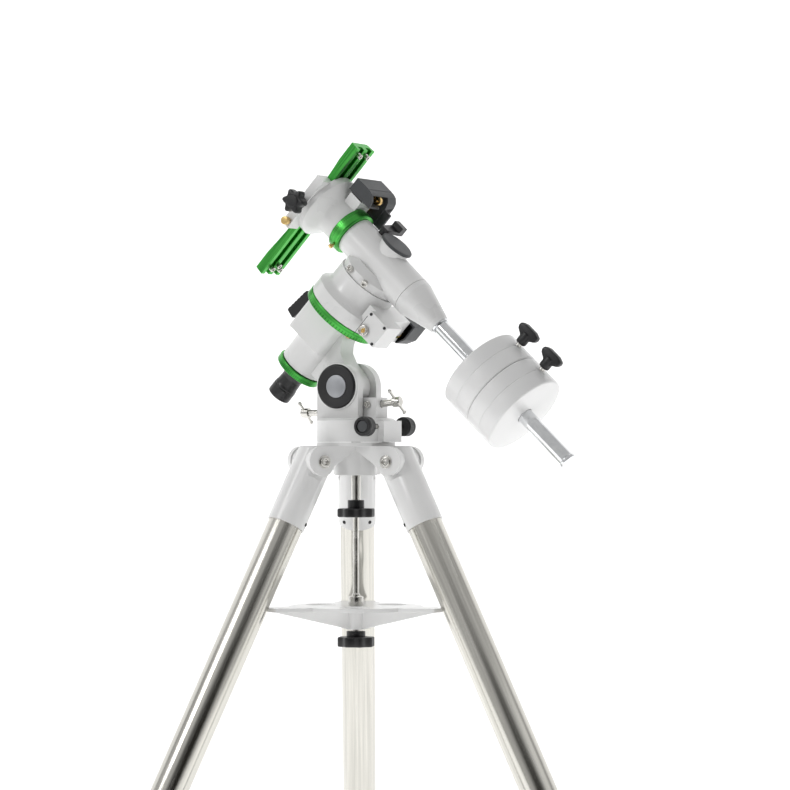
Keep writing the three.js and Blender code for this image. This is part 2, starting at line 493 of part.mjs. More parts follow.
function saddle(group) {
  const neck = alongX(turned([[0, SADDLE.top], [SADDLE.disc, SADDLE.top], [SADDLE.disc, -107], [38, -101],
    [SADDLE.neck + 3, -95], [SADDLE.neck, -90], [SADDLE.neck, SADDLE.bottom], [0, SADDLE.bottom]], 44));
  const slope = (DOVETAIL.wide - DOVETAIL.narrow) / (DOVETAIL.base - DOVETAIL.top);
  const flank = (x) => DOVETAIL.wide - (DOVETAIL.base - x) * slope + 0.4;
  const fixedJaw = [[-114, flank(-114)], [-114, 35], [-128, 31], [-128, flank(-128)]];
  const clampJaw = [[-114, -flank(-114)], [-128, -flank(-128)], [-128, -42], [-114, -46]];
  const body = join(
    neck,
    plate(outline(fixedJaw), -38, 34),
    plate(outline(clampJaw), -43, 34),
    block(-92, -72, -10, 20, 12, 39.5),
  );
  const screwHole = (radius, z) => alongY(bore(radius, -60, -15, 16)).translate(-120, 0, z);
  part(group, 'saddle', 'paint', cut(
    body,
    alongX(bore(DEC_SHAFT.radius + 0.3, DEC_SHAFT.top - 0.4, -60)),
    alongX(bore(DEC_WHEEL.radius + 0.6, DEC_WHEEL.top - 1, -60, 40)),
    alongY(bore(DEC_WORM.thread + 0.4, -7.4, 40)).translate(DEC_WORM.x, 0, DEC_WORM.z),
    screwHole(4.4, -5),
    screwHole(3.4, -36),
  ));

  const section = [[DOVETAIL.base, -DOVETAIL.wide], [DOVETAIL.base, DOVETAIL.wide],
      [DOVETAIL.top, DOVETAIL.narrow],
    [DOVETAIL.top, -DOVETAIL.narrow]];
  const half = DOVETAIL.length / 2;
  const channel = (side) => {
    const [low, high] = [side * 4.5, side * 14].sort((a, b) => a - b);
    return block(DOVETAIL.base - 6, DOVETAIL.base + 5, low, high, DOVETAIL.centre - half - 5,
        DOVETAIL.centre + half + 5);
  };
  const chord = 78;
  const arcRadius = (chord * chord + DOVETAIL.sag * DOVETAIL.sag) / (2 * DOVETAIL.sag);
  const reach = Math.asin(chord / arcRadius);
  const hollow = new THREE.Shape();
  hollow.absarc(DOVETAIL.top + DOVETAIL.sag - arcRadius, DOVETAIL.centre, arcRadius, -reach, reach);
  part(group, 'dovetail_bar', 'anodised', cut(
    plate(outline(section), DOVETAIL.centre - half, DOVETAIL.centre + half),
    slab(hollow, -40, 40, 20),
    channel(-1),
    channel(1),
  ));

  const clampScrew = join(alongY(rod(4, -56, -22, 16)), alongY(rod(8, -56, -48, 20)),
    alongY(plate(lobed(16, 4.5, 6), -69, -54)));
  part(group, 'saddle_clamp_knob', 'black', clampScrew.translate(-120, 0, -5));
  const safety = join(alongY(rod(3, -48, -22, 16)), alongY(plate(lobed(5.5, 0.7, 10, 4), -54, -47)));
  part(group, 'saddle_safety_screw', 'brass', safety.translate(-120, 0, -36));
}

function declinationDrive(group) {
  const worm = turned([[0, -7], [DEC_WORM.thread, -7], [DEC_WORM.thread, 12], [DEC_WORM.shaft, 13],
    [DEC_WORM.shaft, 22], [10, 22], [10, 27], [0, 27]], 20);
  part(group, 'dec_worm', 'brass', alongY(worm).translate(DEC_WORM.x, 0, DEC_WORM.z));
  const shell = join(
    block(-97, -58.5, -10, 49, 41, 59),
    block(-97, -58.5, 20.5, 49, 17.5, 42),
    block(-62, -47, 29, 33, 17.5, 42),
  );
  const roundCorner = cut(block(-75, -50, -20, 60, 45, 70), alongY(rod(14, -30, 70,
      24)).translate(-72.5, 0, 45));
  const aroundNeck = alongX(bore(34, -100, -45, 40));
  part(group, 'dec_drive_cover', 'grey', cut(
    shell,
    aroundNeck,
    block(-94.5, -50, -7.5, 28.5, 43.5, 56.5),
    block(-94.5, -50, 15, 28.5, 20, 50),
    roundCorner,
  ));
}

function counterweights(group) {
  const cone = turned([[0, CONE.top], [CONE.radius, CONE.top], [CONE.radius, CONE.step],
      [CONE.end, CONE.bottom],
    [0, CONE.bottom]], 40);
  part(group, 'shaft_cone', 'paint', alongX(cut(cone, bore(DEC_SHAFT.radius + 0.3, 50,
      DEC_SHAFT.bottom + 0.5),
    bore(BAR.radius + 0.3, BAR.top - 0.5, 130, 28))));
  const bar = turned([[0, BAR.top], [BAR.radius, BAR.top], [BAR.radius, BAR.bottom], [BAR.stop, BAR.bottom],
    [BAR.stop, BAR.bottom + BAR.stopLength - 1], [BAR.stop - 1, BAR.bottom + BAR.stopLength],
    [0, BAR.bottom + BAR.stopLength]], 28);
  part(group, 'counterweight_bar', 'chrome', alongX(bar));
  ['upper', 'lower'].forEach((name, i) => {
    const low = WEIGHT.first + i * (WEIGHT.thick + GAP);
    const high = low + WEIGHT.thick;
    const middle = (low + high) / 2;
    const disc = turned([[WEIGHT.bore, low], [WEIGHT.radius - 1.5, low], [WEIGHT.radius, low + 1.5],
      [WEIGHT.radius, high - 1.5], [WEIGHT.radius - 1.5, high], [WEIGHT.bore, high],
      [WEIGHT.bore, low]], 56);
    const hole = bore(4.4, 5, 70, 16).translate(middle, 0, 0);
    part(group, `counterweight_${name}`, 'paint', cut(alongX(disc), hole));
    const wings = outline([[-5, 62], [5, 62], [15, 73], [16, 80], [10, 84.5], [-10, 84.5], [-16, 80],
        [-15, 73]]);
    const knob = join(rod(4, BAR.radius + 0.6, 66, 16), rod(6.5, 61, 76, 20), slab(wings, -4.5, 4.5));
    part(group, `counterweight_knob_${name}`, 'black', knob.translate(middle, 0, 0));
  });
}

// ---------------------------------------------------------------- the whole mount
const mount = new THREE.Group();
mount.position.set(-STANCE_OFFSET, 0, HUB_HEIGHT);
hub(mount);
mountingBolt(mount);
tray(mount);
for (const [name, azimuth] of Object.entries(LEG_AZIMUTHS)) leg(mount, name, azimuth);
azimuthBase(mount);
azimuthAdjuster(mount, 'near', AZIMUTH_KNOB.near, -1);
azimuthAdjuster(mount, 'far', AZIMUTH_KNOB.far, 1);
altitudeAdjuster(mount, 'north', FRONT_SCREW, 1);
altitudeAdjuster(mount, 'south', REAR_SCREW, -1);

const polar = new THREE.Group();
polar.position.set(AXES.x, 0, AXES.z);
polar.rotation.y = Math.PI / 2 - LATITUDE;
mount.add(polar);
polarHousing(polar);
rightAscensionHead(polar);
declinationHousing(polar);
saddle(polar);
declinationDrive(polar);
counterweights(polar);

export default mount;
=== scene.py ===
import json
import math

import bmesh
import bpy
from mathutils import Matrix, Vector


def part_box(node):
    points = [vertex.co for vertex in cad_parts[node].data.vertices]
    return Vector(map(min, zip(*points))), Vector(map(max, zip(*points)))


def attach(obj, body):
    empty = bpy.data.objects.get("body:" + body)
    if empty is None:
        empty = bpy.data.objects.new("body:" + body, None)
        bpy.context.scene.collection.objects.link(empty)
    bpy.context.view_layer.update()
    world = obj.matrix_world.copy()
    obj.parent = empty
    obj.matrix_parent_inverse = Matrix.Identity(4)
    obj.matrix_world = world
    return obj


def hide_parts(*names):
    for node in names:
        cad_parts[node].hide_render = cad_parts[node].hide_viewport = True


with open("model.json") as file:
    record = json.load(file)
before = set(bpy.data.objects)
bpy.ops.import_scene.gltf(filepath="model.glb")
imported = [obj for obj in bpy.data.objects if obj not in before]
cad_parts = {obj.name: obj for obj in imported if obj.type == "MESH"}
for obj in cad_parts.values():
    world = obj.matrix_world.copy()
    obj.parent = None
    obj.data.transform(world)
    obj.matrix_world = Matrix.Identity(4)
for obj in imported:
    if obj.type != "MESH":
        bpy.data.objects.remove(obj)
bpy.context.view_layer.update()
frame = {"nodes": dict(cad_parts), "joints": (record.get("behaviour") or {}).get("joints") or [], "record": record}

# ---------------------------------------------------------------- places, all taken from the frame
MM = 0.001
JOINTS = {joint["name"]: joint for joint in frame["joints"]}
SLOT_OF = {part["node"]: part["material_slot"] for part in frame["record"]["subparts"]}


def upright(origin, z_axis, y_axis=(0, 1, 0)):
    """A frame at origin whose Z runs along z_axis and whose Y is as near y_axis as it can be."""
    z = Vector(z_axis).normalized()
    x = Vector(y_axis).cross(z).normalized()
    matrix = Matrix((x, z.cross(x), z)).transposed().to_4x4()
    matrix.translation = Vector(origin)
    return matrix


HUB_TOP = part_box("azimuth_base")[0].z
AXIS_X = JOINTS["azimuth"]["pos_m"][0]
MOUNT = Matrix.Translation((AXIS_X, 0, HUB_TOP))
# x towards the counterweights, z up the polar axis, the origin where both axes cross
POLAR = upright(JOINTS["ra_axis"]["pos_m"], JOINTS["ra_axis"]["axis"])
# z towards the counterweights, x down the polar axis
DEC = POLAR @ Matrix.Rotation(math.pi / 2, 4, "Y")
LEGS = {}
for leg_name in ("north", "far", "near"):
    fold = JOINTS[f"leg_{leg_name}_fold"]
    down = Vector(JOINTS[f"leg_{leg_name}_extend"]["axis"])
    LEGS[leg_name] = upright(fold["pos_m"], -down, fold["axis"])


def spot(base, x, y, z, toward=(0, 0, 1)):
    """A frame at a place given in millimetres in base, whose Z points toward a direction given in base."""
    side = (0, 1, 0) if abs(Vector(toward).normalized().y) < 0.95 else (1, 0, 0)
    return base @ upright((x * MM, y * MM, z * MM), toward, side)


# ---------------------------------------------------------------- materials
def material(name, colour, metallic, roughness):
    mat = bpy.data.materials.new(name)
    mat.use_nodes = True
    shader = mat.node_tree.nodes["Principled BSDF"]
    shader.inputs["Base Color"].default_value = (*colour, 1)
    shader.inputs["Metallic"].default_value = metallic
    shader.inputs["Roughness"].default_value = roughness
    return mat, mat.node_tree.nodes, mat.node_tree.links, shader


def noise(nodes, links, scale, stretch=(1, 1, 1), detail=4.0):
    place = nodes.new("ShaderNodeTexCoord")
    mapping = nodes.new("ShaderNodeMapping")
    mapping.inputs["Scale"].default_value = stretch
    links.new(place.outputs["Object"], mapping.inputs["Vector"])
    grain = nodes.new("ShaderNodeTexNoise")
    grain.inputs["Scale"].default_value = scale
    grain.inputs["Detail"].default_value = detail
    links.new(mapping.outputs["Vector"], grain.inputs["Vector"])
    return grain.outputs["Fac"]


def spread(nodes, links, value, low, high):
    ranged = nodes.new("ShaderNodeMapRange")
    ranged.inputs["From Min"].default_value = 0.3
    ranged.inputs["From Max"].default_value = 0.7
    ranged.inputs["To Min"].default_value = low
    ranged.inputs["To Max"].default_value = high
    links.new(value, ranged.inputs["Value"])
    return ranged.outputs["Result"]


def bump(nodes, links, shader, height, strength, distance):
    node = nodes.new("ShaderNodeBump")
    node.inputs["Strength"].default_value = strength
    node.inputs["Distance"].default_value = distance
    links.new(height, node.inputs["Height"])
    links.new(node.outputs["Normal"], shader.inputs["Normal"])


def tint(nodes, links, shader, value, dark, light):
    ramp = nodes.new("ShaderNodeValToRGB")
    ramp.color_ramp.elements[0].position = 0.3
    ramp.color_ramp.elements[0].color = (*dark, 1)
    ramp.color_ramp.elements[1].position = 0.7
    ramp.color_ramp.elements[1].color = (*light, 1)
    links.new(value, ramp.inputs["Fac"])
    links.new(ramp.outputs["Color"], shader.inputs["Base Color"])
    return ramp.outputs["Color"]


def enamel(name, light, dark):
    """Sprayed gloss paint: faint orange peel, and cloudy differences in tone and gloss."""
    mat, nodes, links, shader = material(name, light, 0.0, 0.3)
    cloud = noise(nodes, links, 14)
    tint(nodes, links, shader, cloud, dark, light)
    links.new(spread(nodes, links, cloud, 0.26, 0.36), shader.inputs["Roughness"])
    shader.inputs["Coat Weight"].default_value = 0.25
    shader.inputs["Coat Roughness"].default_value = 0.12
    bump(nodes, links, shader, noise(nodes, links, 420, detail=2.0), 0.06, 0.0004)
    return mat


def moulded(name, light, dark, roughness):
    """Moulded plastic with a fine spark-eroded grain."""
    mat, nodes, links, shader = material(name, light, 0.0, roughness)
    grain = noise(nodes, links, 900, detail=3.0)
    tint(nodes, links, shader, noise(nodes, links, 30), dark, light)
    links.new(spread(nodes, links, grain, roughness - 0.06, roughness + 0.08),
              shader.inputs["Roughness"])
    bump(nodes, links, shader, grain, 0.18, 0.0003)
    return mat


def metal(name, light, dark, roughness, scale=60, stretch=(1, 1, 1), depth=0.05):
    """Bare or plated metal whose grain is drawn out by stretch, in the piece's own frame."""
    mat, nodes, links, shader = material(name, light, 1.0, roughness)
    grain = noise(nodes, links, scale, stretch, 6.0)
    tint(nodes, links, shader, grain, dark, light)
    links.new(spread(nodes, links, grain, roughness - 0.05, roughness + 0.08),
              shader.inputs["Roughness"])
    bump(nodes, links, shader, grain, depth, 0.0003)
    return mat


def graduated(name, ticks, band_low, band_high):
    """Green anodised ring round Z, with tick marks on its rim between two heights in millimetres."""
    mat, nodes, links, shader = material(name, ANODISED_LIGHT, 0.85, 0.3)
    grain = noise(nodes, links, 500, (0.02, 0.02, 1.0))
    colour = tint(nodes, links, shader, grain, ANODISED_DARK, ANODISED_LIGHT)
    bump(nodes, links, shader, grain, 0.08, 0.0002)

    def maths(operation, first, second=None):
        node = nodes.new("ShaderNodeMath")
        node.operation = operation
        for socket, value in zip(node.inputs, (first, second)):
            if value is None:
                continue
            if isinstance(value, (int, float)):
                socket.default_value = value
            else:
                links.new(value, socket)
        return node.outputs[0]

    place = nodes.new("ShaderNodeTexCoord")
    split = nodes.new("ShaderNodeSeparateXYZ")
    links.new(place.outputs["Object"], split.inputs["Vector"])
    turn = maths("ARCTAN2", split.outputs["Y"], split.outputs["X"])
    phase = maths("FRACT", maths("ADD", maths("MULTIPLY", turn, ticks / math.tau), 1000.5))
    near_tick = maths("LESS_THAN", maths("ABSOLUTE", maths("SUBTRACT", phase, 0.5)), 0.09)
    above = maths("GREATER_THAN", split.outputs["Z"], band_low * MM)
    below = maths("LESS_THAN", split.outputs["Z"], band_high * MM)
    mark = maths("MULTIPLY", near_tick, maths("MULTIPLY", above, below))
    mix = nodes.new("ShaderNodeMix")
    mix.data_type = "RGBA"
    links.new(mark, mix.inputs["Factor"])
    links.new(colour, mix.inputs[6])
    mix.inputs[7].default_value = (0.008, 0.05, 0.012, 1)
    links.new(mix.outputs[2], shader.inputs["Base Color"])
    return mat


ANODISED_LIGHT = (0.09, 0.46, 0.08)
ANODISED_DARK = (0.035, 0.28, 0.04)
MATERIALS = {
    "white_paint": enamel("white_enamel", (0.77, 0.77, 0.765), (0.72, 0.72, 0.715)),
    "white_iron": enamel("white_enamel_on_iron", (0.77, 0.77, 0.765), (0.72, 0.72, 0.72)),
    "tube_steel": metal("brushed_tube", (0.66, 0.645, 0.60), (0.50, 0.49, 0.45), 0.20, 260,
                        (1, 1, 0.02), 0.08),
    "black_plastic": moulded("black_plastic", (0.010, 0.010, 0.011), (0.005, 0.005, 0.006), 0.38),
    "grey_plastic": moulded("dark_grey_plastic", (0.055, 0.058, 0.062), (0.036, 0.039, 0.042), 0.50),
    "rubber": moulded("black_rubber", (0.022, 0.022, 0.022), (0.012, 0.012, 0.012), 0.75),
    "nickel": metal("nickel_plate", (0.70, 0.69, 0.66), (0.52, 0.51, 0.48), 0.22),
    "green_anodised": metal("green_anodised", ANODISED_LIGHT, ANODISED_DARK, 0.30, 400, (1, 1, 0.03),
                            0.08),
    "brass": metal("machined_brass", (0.80, 0.58, 0.25), (0.60, 0.40, 0.14), 0.26),
    "shaft_steel": metal("ground_steel", (0.60, 0.60, 0.60), (0.42, 0.42, 0.42), 0.25),
    "chrome": metal("polished_chrome", (0.80, 0.81, 0.82), (0.66, 0.67, 0.68), 0.12),
}
RING_MARKS = graduated("green_ring_graduated", 72, -89.0, -84.5)
DATE_MARKS = graduated("green_date_ring_graduated", 72, -182.6, -176.6)
DEC_MARKS = graduated("green_dec_ring_graduated", 72, -70.0, -64.0)
LABEL = metal("satin_label", (0.42, 0.43, 0.45), (0.34, 0.35, 0.37), 0.36)
# Near-black matt material for thin strips laid into gaps: painted shade, not the parts' own colour.
GAP_SHADE = moulded("shadow_gap", (0.012, 0.012, 0.012), (0.008, 0.008, 0.008), 0.7)


# ------------------------------------------------------- shapes, in millimetres in a piece's own frame
def soften(points, radius, closed=False):
    """Rounds each corner of a profile with a short three-step curve."""
    count = len(points)
    result = []
    for i, point in enumerate(points):
        here = Vector(point)
        if not closed and i in (0, count - 1):
            result.append(here)
            continue
        before, after = Vector(points[i - 1]), Vector(points[(i + 1) % count])
        reach = min(radius, (before - here).length * 0.45, (after - here).length * 0.45)
        start = here + (before - here).normalized() * reach
        end = here + (after - here).normalized() * reach
        for t in (0.0, 0.33, 0.67, 1.0):
            result.append(start * (1 - t) ** 2 + here * (2 * t * (1 - t)) + end * t**2)
    return result


def lathe(points, radius=0.6, segments=72):
    """A solid of revolution about Z from (radius, height) points, from the bottom up."""
    closed = tuple(points[0]) == tuple(points[-1])
    profile = soften(points[:-1] if closed else points, radius, closed)
    mesh = bmesh.new()
    rings = []
    for r, z in profile:
        if r < 1e-6:
            rings.append([mesh.verts.new((0, 0, z * MM))])
            continue
        turns = [math.tau * k / segments for k in range(segments)]
        rings.append([mesh.verts.new((r * MM * math.cos(a), r * MM * math.sin(a),
                                      z * MM)) for a in turns])
    pairs = list(zip(rings, rings[1:]))
    if closed:
        pairs.append((rings[-1], rings[0]))
    for low, high in pairs:
        for k in range(segments):
            corners = [low[k % len(low)], low[(k + 1) % len(low)], high[(k + 1) % len(high)],
                       high[k % len(high)]]
            corners = list(dict.fromkeys(corners))
            if len(corners) > 2:
                mesh.faces.new(corners)
    bmesh.ops.recalc_face_normals(mesh, faces=mesh.faces)
    return mesh


def prism(outline, low, high, edge=0.0):
    """An outline in XY made thick along Z, with its edges rounded by edge."""
    mesh = bmesh.new()
    base = [mesh.verts.new((x * MM, y * MM, low * MM)) for x, y in outline]
    top = [mesh.verts.new((x * MM, y * MM, high * MM)) for x, y in outline]
    mesh.faces.new(base[::-1])
    mesh.faces.new(top)
    for k in range(len(base)):
        n = (k + 1) % len(base)
        mesh.faces.new((base[k], base[n], top[n], top[k]))
    bmesh.ops.recalc_face_normals(mesh, faces=mesh.faces)
    if edge:
        sharp = [e for e in mesh.edges if len(e.link_faces) == 2 and e.calc_face_angle() > 0.6]
        bmesh.ops.bevel(mesh, geom=sharp, offset=edge * MM, segments=3, affect="EDGES", profile=0.5,
                        clamp_overlap=True)
    return mesh


def brick(x0, x1, y0, y1, z0, z1, edge=0.4):
    return prism([(x0, y0), (x1, y0), (x1, y1), (x0, y1)], z0, z1, edge)


def lobed(radius, depth, lobes, steps=12):
    """The outline of a hand knob whose rim waves in and out."""
    points = []
    for k in range(lobes * steps):
        angle = math.tau * k / (lobes * steps)
        reach = radius - depth * (1 - math.cos(angle * lobes)) / 2
        points.append((reach * math.cos(angle), reach * math.sin(angle)))
    return points


def knurled(radius, depth, count):
    points = []
    for k in range(count * 2):
        angle = math.tau * k / (count * 2)
        reach = radius if k % 2 == 0 else radius - depth
        points.append((reach * math.cos(angle), reach * math.sin(angle)))
    return points


def tilted(mesh, matrix):
    """Moves a shape inside its piece, by a matrix whose shift is in metres."""
    bmesh.ops.transform(mesh, matrix=matrix, verts=mesh.verts)
    return mesh


ALONG_X = Matrix.Rotation(math.pi / 2, 4, "Y")


def merged(*meshes):
    """Puts several closed shapes into one piece."""
    result = meshes[0]
    for other in meshes[1:]:
        spare = bpy.data.meshes.new("spare")
        other.to_mesh(spare)
        other.free()
        result.from_mesh(spare)
        bpy.data.meshes.remove(spare)
    return result


# ---------------------------------------------------------------- pieces
def piece(name, body, slot, mesh, matrix, mat=None, nodes=(), crease=35):
    data = bpy.data.meshes.new(name)
    mesh.to_mesh(data)
    mesh.free()
    data.shade_smooth()
    data.set_sharp_from_angle(angle=math.radians(crease))
    obj = bpy.data.objects.new(name, data)
    bpy.context.scene.collection.objects.link(obj)
    obj.matrix_world = matrix
    data.materials.append(mat or MATERIALS[slot])
    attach(obj, body)
    if nodes:
        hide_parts(*nodes)
    return obj


BODY_OF = {}
for body_name, members in frame["record"]["behaviour"]["bodies"].items():
    for member in members:
        BODY_OF[member] = body_name


def remade(node, mesh, matrix, mat=None, crease=35, name=None):
    """A finer piece that stands for one CAD node, on its body and in its material."""
    return piece(name or f"{node}_form", BODY_OF[node], SLOT_OF[node], mesh, matrix, mat, (node,),
                 crease)


def refined(node, edge=0.8, mat=None, base=None):
    """The CAD solid with its flat facets joined, its rounds shaded smooth and its edges broken."""
    mesh = bmesh.new()
    mesh.from_mesh(frame["nodes"][node].data)
    bmesh.ops.remove_doubles(mesh, verts=mesh.verts, dist=0.00002)
    bmesh.ops.dissolve_limit(mesh, angle_limit=math.radians(1.0), verts=mesh.verts, edges=mesh.edges)
    own = base or Matrix.Identity(4)
    bmesh.ops.transform(mesh, matrix=own.inverted(), verts=mesh.verts)
    obj = remade(node, mesh, own, mat, 32)
    if edge:
        bevel = obj.modifiers.new("broken_edges", "BEVEL")
        bevel.width = edge * MM
        bevel.segments = 3
        bevel.limit_method = "ANGLE"
        bevel.angle_limit = math.radians(32)
        bevel.use_clamp_overlap = True
        bevel.harden_normals = True
    return obj


def bolt(name, body, matrix, radius, height, slot="nickel"):
    """A cap screw head with a socket in its top, standing on the frame's XY plane."""
    profile = [(0, -1.0), (radius, -1.0), (radius, height)]
    profile += [(radius * 0.52, height), (radius * 0.48, height * 0.35), (0, height * 0.3)]
    piece(name, body, slot, lathe(profile, radius * 0.15, 24), matrix)


# ---------------------------------------------------------------- tripod
def tripod():
    for name in ("tripod_hub", "spreader_tray"):
        refined(name, 1.0)
    rod_bottom, rod_top = (value.z - HUB_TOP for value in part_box("mounting_bolt"))
    low, top = rod_bottom / MM, rod_top / MM
    rod = [(0, low), (5.3, low), (5.3, -193), (3.9, -191), (3.9, -92), (6.2, -90), (6.2, top), (0, top)]
    remade("mounting_bolt", lathe(rod, 0.4), MOUNT, name="mounting_rod")
    neck = [(4, -86), (10.5, -86), (10.5, -73.5), (4, -73.5), (4, -86)]
    piece("mounting_knob", "mounting_bolt", "black_plastic",
          merged(prism(lobed(24.2, 3, 8), -95, -84, 1.6), lathe(neck)), MOUNT)
    for k in range(9):
        height = -254 + k * 6
        thread = [(5.25, height), (5.6, height + 1.4), (5.25, height + 2.8)]
        piece(f"rod_thread_{k}", "mounting_bolt", "nickel", lathe(thread, 0.1, 32), MOUNT)
    bush = [(5.9, -208), (9.5, -208), (9.5, -196), (7.5, -194.5), (5.9, -194.5), (5.9, -208)]
    piece("tray_bush", "tray", "nickel", lathe(bush, 0.5), MOUNT)
    grip = [(5.8, -248), (12, -248), (12, -239.3), (5.8, -239.3), (5.8, -248)]
    remade("tray_knob", merged(prism(lobed(24, 3, 8), -259, -246.5, 1.6), lathe(grip)), MOUNT)
    for name, base in LEGS.items():
        leg(name, base)


def leg(name, base):
    refined(f"leg_{name}_casting", 1.2)
    tube = [(20.9, -638), (22.25, -638), (22.25, -41), (20.9, -41), (20.9, -638)]
    remade(f"leg_{name}_upper_tube", lathe(tube, 0.3, 96), base)
    inner = [(17.6, -690), (19.05, -690), (19.05, -170), (17.6, -170), (17.6, -690)]
    remade(f"leg_{name}_lower_tube", lathe(inner, 0.3, 96), base)
    refined(f"leg_{name}_collar", 0.8)
    refined(f"leg_{name}_foot", 1.0)
    star = prism(lobed(13, 3, 5), 35, 47, 1.5)
    stem = lathe([(0, 19.7), (3, 19.7), (3, 37), (0, 37)], 0.3, 32)
    lock = merged(star, stem)
    remade(f"leg_{name}_lock_knob", tilted(lock, Matrix.Translation((0, 0, -647 * MM)) @ ALONG_X), base)
    pivot = spot(base, 0, 0, 0, (0, 1, 0))
    for side, turn in (("a", 0), ("b", math.pi)):
        head = pivot @ Matrix.Rotation(turn, 4, "X") @ Matrix.Translation((0, 0, 30.2 * MM))
        bolt(f"leg_{name}_pivot_head_{side}", "hub", head, 6.6, 4.5)
        washer = [(0, -0.2), (8.4, -0.2), (8.4, 1.1), (0, 1.1)]
        piece(f"leg_{name}_pivot_washer_{side}", "hub", "nickel", lathe(washer, 0.3, 40), head)
    for side in (-1, 1):
        screw = spot(base, -24.1 * math.cos(0.75), side * 24.1 * math.sin(0.75), -79,
                     (-math.cos(0.75), side * math.sin(0.75), 0))
        bolt(f"leg_{name}_tube_screw_{'near' if side < 0 else 'far'}", f"leg_{name}", screw, 2.3, 0.9,
             "black_plastic")


# ---------------------------------------------------------------- azimuth base and altitude yoke
def azimuth_base():
    refined("azimuth_base", 1.4)
    pivot_x = (JOINTS["altitude"]["pos_m"][0] - AXIS_X) / MM
    pivot_z = (JOINTS["altitude"]["pos_m"][2] - HUB_TOP) / MM
    cap = spot(MOUNT, pivot_x, 0, pivot_z, (0, -1, 0))
    dish = [(0, 29.3), (28, 29.3), (28, 31.6), (26, 33.6), (15.5, 32.2), (14.6, 32.2), (14.6, 30.5),
            (0, 30.5)]
    remade("altitude_cap", lathe(dish, 0.8, 96), cap)
    piece("altitude_cap_disc", "azimuth", "black_plastic",
          lathe([(0, 30.4), (14.3, 30.4), (14.3, 32.6), (0, 32.6)], 0.3, 96), cap, LABEL)
    rim = [(28.1, 28.7), (29.6, 28.7), (29.6, 30.6), (28.1, 31.2), (28.1, 28.7)]
    piece("altitude_cap_rim", "azimuth", "white_paint", lathe(rim, 0.5, 96), cap)
    far = spot(MOUNT, pivot_x, 0, pivot_z, (0, 1, 0))
    head = [(0, -28.8), (7, -28.8), (7, 29.3), (24, 29.3), (24, 32), (21.5, 33.5), (0, 33.5)]
    remade("altitude_pivot_bolt", lathe(head, 0.8, 72), far)
    bolt("base_lug_bolt", "azimuth", spot(MOUNT, 25.4, -14.1, 47.2, (0, -1, 0)), 4.5, 2.5)
    for name, side in (("near", -1), ("far", 1)):
        azimuth_adjuster(name, side)
    for name in ("north", "south"):
        altitude_adjuster(name)


def azimuth_adjuster(name, side):
    low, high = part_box(f"azimuth_knob_{name}")
    middle = (low + high) / 2
    centre = upright(middle, (0, side, 0), (0, 0, 1))
    half = (high.y - low.y) / 2 / MM
    skirt = lathe([(0, -half), (10.5, -half), (10.8, -half + 2), (10.8, half - 4.5), (0, half - 4.5)],
                  0.4)
    rim = lathe([(8.6, half - 6), (12.2, half - 6), (12.5, half - 3), (11.6, half), (8.2, half),
                 (8.2, half - 2), (8.6, half - 6)],
                0.6)
    grip = prism(knurled(12.4, 0.5, 40), -half + 1.0, half - 3.5, 0.0)
    remade(f"azimuth_knob_{name}", merged(skirt, rim, grip), centre, crease=50)
    inset = lathe([(0, half - 5), (7.2, half - 5), (7.2, half - 1.2), (0, half - 1.2)], 0.4)
    piece(f"azimuth_knob_{name}_inset", f"azimuth_knob_{name}", "grey_plastic", inset, centre)
    refined(f"azimuth_screw_{name}", 0.3)


def altitude_adjuster(name):
    for node in (f"altitude_screw_{name}", f"altitude_handle_{name}"):
        refined(node, 0.25)


# ---------------------------------------------------------------- polar axis
def polar_axis():
    for node in ("polar_housing", "ra_head"):
        refined(node, 1.2, base=POLAR)
    refined("ra_motor_cover", 1.2)
    ring = [(30, -89.2), (51.4, -89.2), (52, -88.4), (52, -79.2), (51.4, -78.4), (30, -78.4),
            (30, -89.2)]
    remade("ra_setting_circle", lathe(ring, 0.3, 128), POLAR, RING_MARKS)
    # A thin near-black ring in the groove between the setting circle and the head: painted shade in the gap.
    groove = [(50.6, -78.3), (51.0, -78.3), (51.0, -77.95), (50.6, -77.95), (50.6, -78.3)]
    piece("ra_circle_gap_painted_shade", "ra_head", "black_plastic", lathe(groove, 0.05, 128), POLAR, GAP_SHADE)
    date = [(24.4, -183), (31, -183), (31.5, -182.4), (31.5, -175), (31, -174.3), (24.4, -174.3),
            (24.4, -183)]
    remade("date_ring", lathe(date, 0.3, 96), POLAR, DATE_MARKS)
    scope = [(0, -221), (13.4, -221), (13.8, -225), (15.3, -225), (15.5, -224), (15.5, -211),
             (14.9, -210.4), (14.9, -209.6),
             (15.3, -209), (14.4, -206), (13.8, -195), (15.2, -190), (17.4, -187.5), (17.8, -184),
             (17.8, -171.2), (12.4, -171),
             (12.4, -60), (0, -60)]
    remade("polar_scope", lathe(scope, 0.4, 72), POLAR)
    piece("polar_scope_lens", "polar_scope", "black_plastic",
          lathe([(0, -222.4), (12.6, -222.4), (13.3, -221.4), (0, -220.8)], 0.3, 48), POLAR, LENS)
    ra_lever()
    worm_block()
    bolt("head_bolt_west", "ra_head", spot(POLAR, -11.6, -38.6, -21, (-0.29, -0.957, 0)), 4.5, 4.0)
    bolt("head_bolt_east", "ra_head", spot(POLAR, 15, -37.2, -21, (0.37, -0.93, 0)), 4.5, 4.0)
    bolt("housing_stop_bolt", "polar", spot(POLAR, -35.5, -15, -139, (-1, 0, -0.2)), 3.2, 5.5)


def ra_lever():
    refined("ra_clutch_lever", 1.4)
    for k in range(6):
        low = -131 + k * 5.6
        face = -62 + (low + 133) * 5 / 37
        rib = brick(face - 0.5, face + 2.5, -7.8, 7.8, low, low + 2.6, 0.6)
        piece(f"ra_lever_rib_{k}", "ra_clutch_lever", "black_plastic", rib, POLAR)


